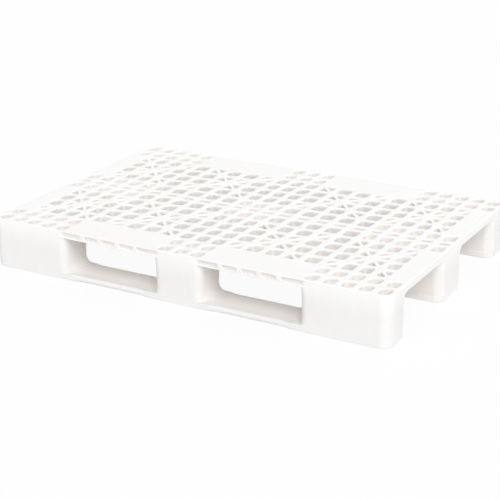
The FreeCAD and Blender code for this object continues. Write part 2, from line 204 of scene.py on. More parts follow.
def star_diagonal(column, row):
    """+1 or -1 where a diagonal rib crosses the cell, rising or falling, else 0."""
    first_columns = {0: END_COLUMNS - FIELD_ROWS, 1: END_COLUMNS + BAY_COLUMNS - FIELD_ROWS}
    if row_zone(row) != 1 or column_zone(column) not in first_columns:
        return 0
    across = min(column, LAST_COLUMN - column)
    step_x = across - first_columns[column_zone(column)]
    step_y = min(row, LAST_ROW - row) - SIDE_ROWS
    turn = 1 if (column <= LAST_COLUMN / 2) == (row <= LAST_ROW / 2) else -1
    if step_x < 0:
        return 0
    if step_x == step_y:
        return turn
    return -turn if step_x + step_y == FIELD_ROWS - 1 else 0


def cell_plan(column, row):
    """The hole's plan (x0, x1, y0, y1) and its corner radius."""
    middle_row = row == LAST_ROW // 2
    bar_x = BAY_BAR if column_zone(column) == 1 else FOOT_BAR
    bar_y = SLOT_BAR if middle_row else (SIDE_BAR if row_zone(row) == 0 else FIELD_BAR)
    radius = SLOT_RADIUS if middle_row else CELL_RADIUS
    plan = (COLUMNS[column] + bar_x / 2, COLUMNS[column + 1] - bar_x / 2,
            ROWS[row] + bar_y / 2, ROWS[row + 1] - bar_y / 2)
    return plan, radius


def star_triangles(column, row, diagonal):
    """Corners, anticlockwise, of the two holes left beside a diagonal rib."""
    (x0, x1, y0, y1), _ = cell_plan(column, row)
    centre = Vector(((x0 + x1) / 2, (y0 + y1) / 2))
    half_x = (x1 - x0) / 2
    half_y = (y1 - y0) / 2
    angle = math.atan2(ROWS[row + 1] - ROWS[row], COLUMNS[column + 1] - COLUMNS[column])
    along_x = (math.cos(angle) * half_y - STAR_RIB / 2) / math.sin(angle)
    along_y = (STAR_RIB / 2 - math.sin(angle) * half_x) / math.cos(angle)
    upper = [(-half_x, half_y), (-half_x, along_y), (along_x, half_y)]
    lower = [(-x, -y) for x, y in upper]
    triangles = []
    for corners in (upper, lower):
        placed = [centre + Vector((diagonal * x, y)) for x, y in corners]
        triangles.append(placed if diagonal > 0 else placed[::-1])
    return triangles


def cell_holes(column, row):
    """The corners and corner radius of each hole in a cell."""
    diagonal = star_diagonal(column, row)
    if diagonal:
        return [(corners, STAR_RADIUS) for corners in star_triangles(column, row, diagonal)]
    plan, radius = cell_plan(column, row)
    return [(corners_of(plan), radius)]


# ---------------------------------------------------------------- outlines
def corners_of(plan):
    x0, x1, y0, y1 = plan
    return [Vector((x0, y0)), Vector((x1, y0)), Vector((x1, y1)), Vector((x0, y1))]


def outline(corners, radii, grow=0.0, steps=ARC_STEPS):
    """Points round a convex polygon with rounded corners, moved outwards by grow."""
    points = []
    for index, corner in enumerate(corners):
        arriving = (corner - corners[index - 1]).normalized()
        leaving = (corners[(index + 1) % len(corners)] - corner).normalized()
        turn = math.atan2(arriving.cross(leaving), arriving.dot(leaving))
        radius = radii[index]
        back = radius * math.tan(turn / 2)
        normal = Vector((arriving.y, -arriving.x))
        centre = corner - arriving * back - normal * radius
        for step in range(steps + 1):
            spoke = normal.copy()
            spoke.rotate(Matrix.Rotation(turn * step / steps, 2))
            points.append(centre + spoke * (radius + grow))
    return points


def disc(x, y, radius):
    angles = [math.tau * step / DISC_STEPS for step in range(DISC_STEPS)]
    return [Vector((x + radius * math.cos(a), y + radius * math.sin(a))) for a in angles]


def quarter(steps):
    """Angles from 0 to a quarter turn."""
    return [math.pi / 2 * step / steps for step in range(steps + 1)]


# ---------------------------------------------------------------- shells
class Shell:
    """Points and faces of one moulded piece, gathered ring by ring."""

    def __init__(self):
        self.points = []
        self.faces = []

    def ring(self, points):
        start = len(self.points)
        self.points += [tuple(point) for point in points]
        return list(range(start, len(self.points)))

    def level_ring(self, points, z):
        return self.ring([(point[0], point[1], z) for point in points])

    def band(self, low, high, skip=()):
        """Faces between two rings of equal length; skip leaves out the faces that start there."""
        for index in range(len(low)):
            if index not in skip:
                after = (index + 1) % len(low)
                self.faces.append((low[index], low[after], high[after], high[index]))

    def stack(self, rings):
        for low, high in zip(rings, rings[1:]):
            self.band(low, high)

    def cap(self, ring):
        self.faces.append(tuple(ring))

    def terrace(self, regions, place):
        """Fills an outline in steps.

        A region is (points, height); a later one lies over an earlier one, and a height
        of None leaves it open. Place turns flat coordinates and a height into a point.
        """
        flat = []
        loops = []
        for points, _ in regions:
            loops.append(list(range(len(flat), len(flat) + len(points))))
            flat += [Vector((point[0], point[1])) for point in points]
        spots, _, triangles, _, _, owners = delaunay_2d_cdt(
            flat, [], loops, INSIDE_ONLY, TERRACE_TOLERANCE, True)
        made = {}
        sides = {}

        def corner(spot, height):
            if (spot, height) not in made:
                made[spot, height] = len(self.points)
                self.points.append(tuple(place(spots[spot].x, spots[spot].y, height)))
            return made[spot, height]

        for triangle, owner in zip(triangles, owners):
            height = regions[max(owner)][1] if owner else None
            if height is None:
                continue
            self.faces.append(tuple(corner(spot, height) for spot in triangle))
            for first, second in zip(triangle, triangle[1:] + triangle[:1]):
                sides.setdefault(frozenset((first, second)), []).append((first, second, height))
        for pair in sides.values():
            if len(pair) == 2 and pair[0][2] != pair[1][2]:
                first, second, low = pair[0]
                high = pair[1][2]
                self.faces.append((corner(first, low), corner(second, low),
                                   corner(second, high), corner(first, high)))

    def piece(self, name, material):
        """The shell as a mesh object that moves with the pallet."""
        mesh = bpy.data.meshes.new(name)
        mesh.from_pydata(self.points, [], self.faces)
        build = bmesh.new()
        build.from_mesh(mesh)
        bmesh.ops.remove_doubles(build, verts=build.verts, dist=WELD_DISTANCE)
        bmesh.ops.recalc_face_normals(build, faces=build.faces)
        for face in build.faces:
            face.smooth = True
        build.to_mesh(mesh)
        build.free()
        mesh.set_sharp_from_angle(angle=SMOOTH_ANGLE)
        mesh.materials.append(material)
        piece = bpy.data.objects.new(name, mesh)
        bpy.context.scene.collection.objects.link(piece)
        weighted = piece.modifiers.new("even_faces", "WEIGHTED_NORMAL")
        weighted.keep_sharp = True
        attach(piece, "root")
        return piece


def level(x, y, height):
    return x, y, height


# ---------------------------------------------------------------- deck
def add_open_cell(shell, corners, radius):
    """The walls of a through hole, with a round rim; gives back its rim outline."""
    radii = [radius] * len(corners)
    rings = [shell.level_ring(outline(corners, radii), DECK_BASE)]
    for angle in quarter(CELL_RIM_STEPS):
        grow = CELL_RIM * (1 - math.cos(angle))
        z = DECK_TOP - CELL_RIM * (1 - math.sin(angle))
        rings.append(shell.level_ring(outline(corners, radii, grow), z))
    shell.stack(rings)
    return outline(corners, radii, CELL_RIM)


def deck_screw_points():
    """Where the outermost ribs of each foot cross."""
    points = []
    for plan in foot_plans().values():
        across = ribs_inside(COLUMNS, plan[0], plan[1])
        along = ribs_inside(ROWS, plan[2], plan[3])
        points += [(across[0], along[0]), (across[-1], along[-1])]
    return points


def panel_spans():
    """Where the sunk panels lie along a long side, and whether either end meets a foot."""
    spans = []
    for column in range(LAST_COLUMN + 1):
        if column_zone(column) == 1:
            after_foot = column_zone(column - 1) != 1
            before_foot = column_zone(column + 1) != 1
            start = COLUMNS[column] + (-SIDE_EDGE_RADIUS if after_foot else PANEL_RIB / 2)
            stop = COLUMNS[column + 1] + (SIDE_EDGE_RADIUS if before_foot else -PANEL_RIB / 2)
            spans.append((start, stop, after_foot, before_foot))
    return spans


def foot_end_shift(depth):
    """How far the foot's rounded upright edge has turned back at a depth behind its face."""
    return math.sqrt(SIDE_EDGE_RADIUS ** 2 - (SIDE_EDGE_RADIUS - depth) ** 2)


def panel_ring(span, grow, depth):
    """A panel's outline at one depth: its ends at a foot follow the foot's round edge."""
    start, stop, after_foot, before_foot = span
    base = DECK_BASE + PANEL_LEDGE
    x0 = start + foot_end_shift(depth) if after_foot else start - grow
    x1 = stop - foot_end_shift(depth) if before_foot else stop + grow
    corners = corners_of((x0, x1, base - grow, base + PANEL_HEIGHT + grow))
    radii = [PANEL_RADIUS + grow] * 4
    if after_foot:
        radii[0] = radii[3] = PANEL_RIM
    if before_foot:
        radii[1] = radii[2] = PANEL_RIM
    return outline(corners, radii)


def panel_levels():
    """How far a panel's rings stand out from its wall, and how deep they lie."""
    levels = []
    for angle in quarter(PANEL_RIM_STEPS):
        levels.append((PANEL_RIM * (1 - math.sin(angle)), PANEL_RIM * (1 - math.cos(angle))))
    for step in range(1, PANEL_STEPS):
        levels.append((0.0, PANEL_RIM + (PANEL_RECESS - 2 * PANEL_RIM) * step / PANEL_STEPS))
    for angle in quarter(PANEL_RIM_STEPS):
        levels.append((-PANEL_RIM * (1 - math.cos(angle)),
                       PANEL_RECESS - PANEL_RIM * (1 - math.sin(angle))))
    return levels


def add_side_wall(shell, side, low_ring, high_ring):
    """A long side of the deck between two of its rings, with the sunk panels."""
    face_y = side * HALF_WIDTH
    x0, x1 = sorted(shell.points[index][0] for index in low_ring)
    z0 = shell.points[low_ring[0]][2]
    z1 = shell.points[high_ring[0]][2]

    def place(x, z, depth):
        return x, face_y - side * depth, z

    regions = [(corners_of((x0, x1, z0, z1)), 0.0)]
    for span in panel_spans():
        outlines = [(panel_ring(span, grow, depth), depth) for grow, depth in panel_levels()]
        regions.append((outlines[0][0], None))
        rings = [shell.ring([place(*point, depth) for point in points])
                 for points, depth in outlines]
        shell.stack(rings)
        shell.cap(rings[-1])
    shell.terrace(regions, place)


def add_deck(material):
    shell = Shell()
    corners = corners_of((-HALF_LENGTH, HALF_LENGTH, -HALF_WIDTH, HALF_WIDTH))
    radii = [CORNER_RADIUS] * 4
    rims = []
    under = [(outline(corners, radii, 0, EDGE_ARC_STEPS), DECK_BASE)]
    for column, row in ALL_CELLS:
        if is_open(column, row):
            for hole, radius in cell_holes(column, row):
                rims.append((add_open_cell(shell, hole, radius), None))
                under.append((outline(hole, [radius] * len(hole)), None))
        else:
            (x0, x1, y0, y1), radius = cell_plan(column, row)
            core = corners_of((x0, x1, max(y0, -CORE_REACH), min(y1, CORE_REACH)))
            under.append((outline(core, [radius] * 4), DECK_TOP - DECK_SKIN))
    for x in COLUMNS[1:-1]:
        core = corners_of((x - CORE_WIDTH / 2, x + CORE_WIDTH / 2, -CORE_REACH, CORE_REACH))
        under.append((core, DECK_TOP - DECK_SKIN))
    under += [(disc(x, y, DECK_BOSS_RADIUS), DECK_BASE) for x, y in deck_screw_points()]

    low = shell.level_ring(outline(corners, radii, 0, EDGE_ARC_STEPS), DECK_BASE)
    edge = []
    for angle in quarter(DECK_EDGE_STEPS):
        grow = -DECK_EDGE_RADIUS * (1 - math.cos(angle))
        z = DECK_TOP - DECK_EDGE_RADIUS * (1 - math.sin(angle))
        edge.append(shell.level_ring(outline(corners, radii, grow, EDGE_ARC_STEPS), z))
    # An outline runs corner by corner, so each side starts at the end of a corner's arc.
    front_side = EDGE_ARC_STEPS
    rear_side = front_side + 2 * (EDGE_ARC_STEPS + 1)
    shell.band(low, edge[0], skip=(front_side, rear_side))
    shell.stack(edge)
    for side, start in ((-1, front_side), (1, rear_side)):
        add_side_wall(shell, side, low[start:start + 2], edge[0][start:start + 2])
    top = [(outline(corners, radii, -DECK_EDGE_RADIUS, EDGE_ARC_STEPS), DECK_TOP)]
    shell.terrace(top + rims, level)
    shell.terrace(under, level)
    deck = shell.piece("moulded_deck", material)
    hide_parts("deck")


# ---------------------------------------------------------------- feet
def foot_plans():
    """Each foot's name and plan (x0, x1, y0, y1) under the deck."""
    half_middle = MIDDLE_FOOT_LENGTH / 2
    spans = {"left": (-HALF_LENGTH, -END_FOOT_INNER),
             "centre": (-half_middle, half_middle),
             "right": (END_FOOT_INNER, HALF_LENGTH)}
    return {row + "_" + column: spans[column] + LANES[row]
            for row in ROW_NAMES for column in COLUMN_NAMES}


def ribs_inside(lines, low, high):
    """Grid lines that cross a foot clear of its walls."""
    return [line for line in lines if low + 2 * WELL_RADIUS < line < high - 2 * WELL_RADIUS]


def corner_radius(x, y):
    on_end = abs(x) > HALF_LENGTH - PLAN_TOLERANCE
    on_side = abs(y) > HALF_WIDTH - PLAN_TOLERANCE
    if on_end and on_side:
        return CORNER_RADIUS
    if on_end:
        return END_EDGE_RADIUS
    return SIDE_EDGE_RADIUS if on_side else INNER_EDGE_RADIUS


def foot_profile():
    """Heights of a foot's rings, each with its base flare and head flare (0 to 1)."""
    base = RUNNER_TOP + FLARE_LIP
    head = DECK_BASE - FLARE_LIP
    angles = quarter(FLARE_STEPS)
    rise = [(base + BASE_FLARE_RADIUS * (1 - math.cos(angle)), 1 - math.sin(angle), 0)
            for angle in angles]
    fall = [(head - HEAD_FLARE_HEIGHT * (1 - math.cos(angle)), 0, 1 - math.sin(angle))
            for angle in reversed(angles)]
    return [(RUNNER_TOP, 1, 0)] + rise + fall + [(DECK_BASE, 0, 1)]


def foot_ring(plan, z, base_flare, head_flare):
    """One outline of a foot: tapered and flared inside the pallet's plan."""
    taper = FOOT_TAPER * (DECK_BASE - z) / (DECK_BASE - RUNNER_TOP)
    head = HEAD_FLARE_WIDTH * head_flare
    middle = Vector(((plan[0] + plan[1]) / 2, (plan[2] + plan[3]) / 2))
    corners = []
    radii = []
    for x, y in corners_of(plan):
        inner_x = abs(x) < HALF_LENGTH - PLAN_TOLERANCE
        inner_y = abs(y) < HALF_WIDTH - PLAN_TOLERANCE
        out_x = -taper if inner_x else 0
        out_y = head - taper if inner_y else 0
        if inner_x and inner_y:
            out_x += head + BASE_FLARE_RADIUS * base_flare
        corners.append(Vector((x + out_x * math.copysign(1, x - middle.x),
                               y + out_y * math.copysign(1, y - middle.y))))
        radii.append(corner_radius(x, y))
    return outline(corners, radii, 0, EDGE_ARC_STEPS)


def add_foot(name, plan, material):
    shell = Shell()
    rings = [shell.level_ring(foot_ring(plan, z, base, head), z)
             for z, base, head in foot_profile()]
    shell.stack(rings)
    shell.cap(rings[0])
    shell.cap(rings[-1])
    foot = shell.piece("moulded_foot_" + name, material)
    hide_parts("foot_" + name)


# ---------------------------------------------------------------- runners
def bay_share(x):
    """How far the runner's edges are eased at x: 0 at a foot, 1 inside a fork bay."""
    near = MIDDLE_FOOT_LENGTH / 2 + BASE_FLARE_RADIUS
    far = END_FOOT_INNER - BASE_FLARE_RADIUS
    share = min(abs(x) - near, far - abs(x)) / RUNNER_RAMP
    share = max(0.0, min(1.0, share))
    return share * share * (3 - 2 * share)


def runner_outline(lane):
    """The runner's plan, with extra points along its two long edges."""
    corners = corners_of((-HALF_LENGTH, HALF_LENGTH, *lane))
    radii = [corner_radius(*corner) for corner in corners]
    points = outline(corners, radii, 0, EDGE_ARC_STEPS)
    dense = []
    for index, point in enumerate(points):
        after = points[(index + 1) % len(points)]
        dense.append(point)
        run = abs(after.x - point.x)
        if abs(after.y - point.y) < PLAN_TOLERANCE and run > HALF_LENGTH:
            count = round(run / RUNNER_STEP)
            dense += [point.lerp(after, step / count) for step in range(1, count)]
    return dense


def runner_levels():
    """Heights of the runner's rings, each with the inset of its rounded base edge."""
    levels = []
    for angle in quarter(BASE_EDGE_STEPS):
        z = BASE_EDGE_RADIUS * (1 - math.cos(angle))
        levels.append((z, BASE_EDGE_RADIUS * (1 - math.sin(angle))))
    levels += [(z, 0.0) for z in RUNNER_CHAMFER_LEVELS]
    for angle in quarter(RUNNER_ROUND_STEPS):
        levels.append((RUNNER_TOP - RUNNER_ROUND * (1 - math.sin(angle)), 0.0))
    return levels


def runner_ring(points, lane, z, base_inset):
    """One level of a runner: chamfered below and rounded above between the feet."""
    down = max(0.0, 1 - z / RUNNER_CHAMFER)
    chamfer = RUNNER_CHAMFER * (1 - math.sqrt(1 - down * down))
    up = max(0.0, z - (RUNNER_TOP - RUNNER_ROUND))
    rounding = RUNNER_ROUND - math.sqrt(max(0.0, RUNNER_ROUND ** 2 - up ** 2))
    middle_y = (lane[0] + lane[1]) / 2
    ring = []
    for index, point in enumerate(points):
        before = points[index - 1]
        after = points[(index + 1) % len(points)]
        outward = Vector((after.y - before.y, before.x - after.x)).normalized()
        share = bay_share(point.x)
        moved = point - outward * base_inset * (1 - share)
        moved.y -= math.copysign((chamfer + rounding) * share, point.y - middle_y)
        ring.append(moved)
    return ring


def runner_posts(row):
    """Runner screws: on the outermost ribs of each foot, close to its two faces."""
    posts = []
    for name, plan in foot_plans().items():
        if name.startswith(row):
            across = ribs_inside(COLUMNS, plan[0], plan[1])
            posts += [(across[0], plan[3] - POST_INSET), (across[-1], plan[2] + POST_INSET)]
    return posts


def add_runner(row, material):
    shell = Shell()
    lane = LANES[row]
    points = runner_outline(lane)
    levels = runner_levels()
    rings = [runner_ring(points, lane, z, inset) for z, inset in levels]
    shell.stack([shell.level_ring(ring, z) for ring, (z, _) in zip(rings, levels)])
    shell.terrace([(rings[-1], RUNNER_TOP)], level)
    seat = RUNNER_TOP - RUNNER_PLATE
    middle_y = (lane[0] + lane[1]) / 2
    ribs = [RUNNER_RAIL - HALF_LENGTH - RUNNER_RIB / 2] + COLUMNS[1:-1]
    ribs.append(HALF_LENGTH - RUNNER_RAIL + RUNNER_RIB / 2)
    under = [(rings[0], 0.0)]
    half_rib = RUNNER_RIB / 2
    for x0, x1 in zip(ribs, ribs[1:]):
        for y0, y1 in ((lane[0] + RUNNER_RAIL, middle_y - half_rib),
                       (middle_y + half_rib, lane[1] - RUNNER_RAIL)):
            pocket = corners_of((x0 + half_rib, x1 - half_rib, y0, y1))
            under.append((outline(pocket, [POCKET_RADIUS] * 4), seat))
    posts = runner_posts(row)
    under += [(disc(x, y, WELL_RADIUS + BOSS_WALL), 0.0) for x, y in posts]
    under += [(disc(x, y, WELL_RADIUS), seat) for x, y in posts]
    shell.terrace(under, level)
    runner = shell.piece("moulded_runner_" + row, material)
    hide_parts("runner_" + row)


# ---------------------------------------------------------------- camera
CAMERA_PLACE = Vector((1.778, -3.132, 1.376))
CAMERA_YAW = math.radians(29.71)        # turned left of +Y
CAMERA_PITCH = math.radians(20.52)      # below the horizon
CAMERA_ROLL = math.radians(-0.38)
CAMERA_LENS = 97.7                      # millimetres, as is the sensor
CAMERA_SENSOR = 36
CAMERA_SHIFT_Y = -0.006


def add_camera():
    """The camera stands to the right of the front side and looks down on the deck."""
    right = Vector((math.cos(CAMERA_YAW), math.sin(CAMERA_YAW), 0))
    ahead = Vector((-math.sin(CAMERA_YAW) * math.cos(CAMERA_PITCH),
                    math.cos(CAMERA_YAW) * math.cos(CAMERA_PITCH), -math.sin(CAMERA_PITCH)))
    up = right.cross(ahead)
    rolled_right = right * math.cos(CAMERA_ROLL) + up * math.sin(CAMERA_ROLL)
    rolled_up = up * math.cos(CAMERA_ROLL) - right * math.sin(CAMERA_ROLL)
    turn = Matrix((rolled_right, rolled_up, -ahead)).transposed()
    data = bpy.data.cameras.new("camera")
    data.lens = CAMERA_LENS
    data.sensor_width = CAMERA_SENSOR
    data.shift_y = CAMERA_SHIFT_Y
    camera = bpy.data.objects.new("camera", data)
    camera.matrix_world = Matrix.Translation(CAMERA_PLACE) @ turn.to_4x4()
    bpy.context.scene.collection.objects.link(camera)
    bpy.context.scene.camera = camera


# ---------------------------------------------------------------- node trees
COLOUR_MIX_INPUTS = (0, 6, 7)           # the factor and the two colours of a colour mix
COLOUR_MIX_OUTPUT = 2


class Graph:
    """Adds nodes to one node tree and joins them."""

    def __init__(self, tree):
        self.tree = tree

    def node(self, kind, **settings):
        made = self.tree.nodes.new(kind)
        for key, value in settings.items():
            setattr(made, key, value)
        return made

    def feed(self, socket, source):
        if isinstance(source, bpy.types.NodeSocket):
            self.tree.links.new(source, socket)
        else:
            socket.default_value = source

    def math(self, operation, *sources):
        made = self.node("ShaderNodeMath", operation=operation)
        for socket, source in zip(made.inputs, sources):
            self.feed(socket, source)
        return made.outputs[0]

    def fade(self, value, start, stop):
        """0 up to start, 1 from stop, and smooth between them."""
        made = self.node("ShaderNodeMapRange", interpolation_type="SMOOTHSTEP")
        for name, source in (("Value", value), ("From Min", start), ("From Max", stop)):
            self.feed(made.inputs[name], source)
        return made.outputs[0]

    def noise(self, place, scale, detail):
        made = self.node("ShaderNodeTexNoise")
        self.feed(made.inputs["Vector"], place)
        self.feed(made.inputs["Scale"], scale)
        self.feed(made.inputs["Detail"], detail)
        return made.outputs["Fac"]

    def split(self, vector):
        made = self.node("ShaderNodeSeparateXYZ")
        self.feed(made.inputs[0], vector)
        return made.outputs

    def blend(self, share, first, second):
        made = self.node("ShaderNodeMix", data_type="RGBA")
        for index, source in zip(COLOUR_MIX_INPUTS, (share, first, second)):
            self.feed(made.inputs[index], source)
        return made.outputs[COLOUR_MIX_OUTPUT]


# ---------------------------------------------------------------- light and floor
WHITE = (1, 1, 1, 1)
DOME_LEVEL = 0.33
FLOOR_REACH = 12
FLOOR_COLOUR = (0.88, 0.88, 0.88, 1)
FLOOR_GLOW = 0.93                       # how much of the seen floor is plain white
LAMP_DISTANCE = 4
LAMP_SPREAD = math.radians(40)          # how soft each studio lamp's shadows are
# Each far lamp: the way it stands (degrees round from +X, degrees up) and the light it
# gives a surface that faces it, where 1 shows a colour just as it is written.
STUDIO_LAMPS = {"key_front_right": (-45, 41, 0.62),
                "fill_front_left": (-130, 25, 0.13),
                "fill_right": (0, 30, 0.07),
                "fill_rear": (90, 50, 0.22)}


def add_lamps():
    for name, (azimuth, elevation, share) in STUDIO_LAMPS.items():
        data = bpy.data.lights.new(name, "SUN")
        data.angle = LAMP_SPREAD
        data.energy = share * math.pi
        lamp = bpy.data.objects.new(name, data)
        turn = math.radians(azimuth)
        rise = math.radians(elevation)
        towards = Vector((math.cos(turn) * math.cos(rise), math.sin(turn) * math.cos(rise),
                          math.sin(rise)))
        lamp.location = LAMP_DISTANCE * towards
        lamp.rotation_mode = "QUATERNION"
        lamp.rotation_quaternion = (-towards).to_track_quat("-Z", "Y")
        bpy.context.scene.collection.objects.link(lamp)


def background_share(graph):
    """1 for the rays that see plain white: straight, mirrored or through glass. Else 0."""
    path = graph.node("ShaderNodeLightPath").outputs
    seen = graph.math("MAXIMUM", path["Is Camera Ray"], path["Is Glossy Ray"])
    return graph.math("MAXIMUM", seen, path["Is Transmission Ray"])


def add_world():
    """An even dome, with a plain white background."""
    world = bpy.data.worlds.new("studio")
    world.use_nodes = True
    graph = Graph(world.node_tree)
    graph.tree.nodes.clear()
    mix = graph.node("ShaderNodeMixShader")
    graph.feed(mix.inputs["Fac"], background_share(graph))
    for socket, strength in ((mix.inputs[1], DOME_LEVEL), (mix.inputs[2], 1)):
        sky = graph.node("ShaderNodeBackground")
        graph.feed(sky.inputs["Color"], WHITE)
        graph.feed(sky.inputs["Strength"], strength)
        graph.feed(socket, sky.outputs[0])
    graph.feed(graph.node("ShaderNodeOutputWorld").inputs[0], mix.outputs[0])
    bpy.context.scene.world = world


def floor_material():
    """Matt paper that takes the pallet's shadow and is otherwise seen as near white."""
    material = bpy.data.materials.new("studio_floor")
    material.use_nodes = True
    graph = Graph(material.node_tree)
    graph.tree.nodes.clear()
    paper = graph.node("ShaderNodeBsdfDiffuse")
    graph.feed(paper.inputs["Color"], FLOOR_COLOUR)
    glow = graph.node("ShaderNodeEmission")
    graph.feed(glow.inputs["Color"], WHITE)
    graph.feed(glow.inputs["Strength"], 1)
    mix = graph.node("ShaderNodeMixShader")
    graph.feed(mix.inputs["Fac"], graph.math("MULTIPLY", background_share(graph), FLOOR_GLOW))
    graph.feed(mix.inputs[1], paper.outputs[0])
    graph.feed(mix.inputs[2], glow.outputs[0])
    graph.feed(graph.node("ShaderNodeOutputMaterial").inputs[0], mix.outputs[0])
    return material


def add_floor():
    mesh = bpy.data.meshes.new("floor")
    plan = corners_of((-FLOOR_REACH, FLOOR_REACH, -FLOOR_REACH, FLOOR_REACH))
    mesh.from_pydata([(corner.x, corner.y, 0) for corner in plan], [], [(0, 1, 2, 3)])
    floor = bpy.data.objects.new("floor", mesh)
    bpy.context.scene.collection.objects.link(floor)
    mesh.materials.append(floor_material())


# ---------------------------------------------------------------- materials
POLYETHYLENE = (0.94, 0.933, 0.925, 1)
# The next colour shows low down: the plastic is darker towards the bottom.
LOWER_POLYETHYLENE = (0.87, 0.86, 0.85, 1)
# Painted shade tints for sheltered places: a warm tint under the deck, and a darker warm tint in the
# deck's holes, recesses and underside.
SHADED_POLYETHYLENE = (0.97, 0.935, 0.905, 1)
DECK_SHADE_POLYETHYLENE = (0.84, 0.80, 0.765, 1)
DULL_ZINC = (0.58, 0.59, 0.60, 1)
BRIGHT_ZINC = (0.74, 0.75, 0.76, 1)

# Noise patterns: scale and detail.
CLOUDS = (14.0, 4.0)
BLOTCHES = (55.0, 3.0)
SCRATCHES = (320.0, 5.0)
SPANGLES = (420.0, 3.0)
GRAIN = (900.0, 3.0)

# How strongly the painted shade shows where sheltered: an even share plus a clouded share, and a
# share over the fork bays on the deck.
EVEN_SHADE = 0.55
CLOUDED_SHADE = 0.9
DECK_BAY_SHADE = 0.2
BAY_EDGE_FADE = 3 * MM
SCRATCH_STRETCH = (1.0, 1.0, 0.12)
SCRATCH_SEEN_FROM = 0.62
SCRATCH_FULL_FROM = 0.78
# Painted light: faint brighter lines on the feet's faces at the rib pitch.
RIB_LIGHT = 0.02
ROUGHNESS = 0.42
BLOTCH_ROUGHNESS = 0.12
SCUFF_ROUGHNESS = 0.1
ZINC_ROUGHNESS = 0.28
SPANGLE_ROUGHNESS = 0.14
GRAIN_HEIGHT = 0.6
BLOTCH_HEIGHT = 0.4
BUMP_STRENGTH = 0.25
BUMP_DISTANCE = 0.15 * MM


def new_group(name, inputs, outputs):
    """An empty shader node group with its sockets; gives its graph and its two ends."""
    tree = bpy.data.node_groups.new(name, "ShaderNodeTree")
    for label, default in inputs.items():
        kind = "NodeSocketColor" if isinstance(default, tuple) else "NodeSocketFloat"
        socket = tree.interface.new_socket(name=label, in_out="INPUT", socket_type=kind)
        socket.default_value = default
    for label, kind in outputs.items():
        tree.interface.new_socket(name=label, in_out="OUTPUT", socket_type=kind)
    graph = Graph(tree)
    return graph, graph.node("NodeGroupInput").outputs, graph.node("NodeGroupOutput").inputs


def shelter_group():
    """How sheltered from light a place is, the mask for painted shade: deep below the deck's top, and
    far inside the plan or a bay.
    """
    graph, given, result = new_group(
        "shelter",
        {"Depth Start": 0.8 * MM, "Depth End": 9 * MM, "Inside Start": 2 * MM,
         "Inside End": 6 * MM, "Bay Share": 0.0, "Bay Near": MIDDLE_FOOT_LENGTH / 2,
         "Bay Far": END_FOOT_INNER, "Half Length": HALF_LENGTH, "Half Width": HALF_WIDTH,
         "Corner": CORNER_RADIUS, "Deck Top": DECK_TOP},
        {"Shelter": "NodeSocketFloat"})
    place = graph.split(graph.node("ShaderNodeTexCoord").outputs["Object"])
    across = graph.math("ABSOLUTE", place["X"])
    depth = graph.math("SUBTRACT", given["Deck Top"], place["Z"])
    from_end = graph.math("SUBTRACT", given["Half Length"], across)
    from_side = graph.math("SUBTRACT", given["Half Width"], graph.math("ABSOLUTE", place["Y"]))
    short_x = graph.math("MAXIMUM", graph.math("SUBTRACT", given["Corner"], from_end), 0.0)
    short_y = graph.math("MAXIMUM", graph.math("SUBTRACT", given["Corner"], from_side), 0.0)
    spoke = graph.math("SQRT", graph.math("ADD", graph.math("MULTIPLY", short_x, short_x),
                                          graph.math("MULTIPLY", short_y, short_y)))
    beyond = graph.math("SUBTRACT", graph.math("MINIMUM", from_end, from_side), given["Corner"])
    inside = graph.math("ADD", graph.math("SUBTRACT", given["Corner"], spoke),
                        graph.math("MAXIMUM", beyond, 0.0))
    from_middle_foot = graph.math("SUBTRACT", across, given["Bay Near"])
    from_end_foot = graph.math("SUBTRACT", given["Bay Far"], across)
    from_foot = graph.math("MINIMUM", from_middle_foot, from_end_foot)
    in_bay = graph.fade(from_foot, 0.0, BAY_EDGE_FADE)
    below = graph.fade(depth, given["Depth Start"], given["Depth End"])
    within = graph.fade(inside, given["Inside Start"], given["Inside End"])
    over_bay = graph.math("MULTIPLY", in_bay, given["Bay Share"])
    graph.feed(result["Shelter"],
               graph.math("MULTIPLY", below, graph.math("MAXIMUM", within, over_bay)))
    return graph.tree


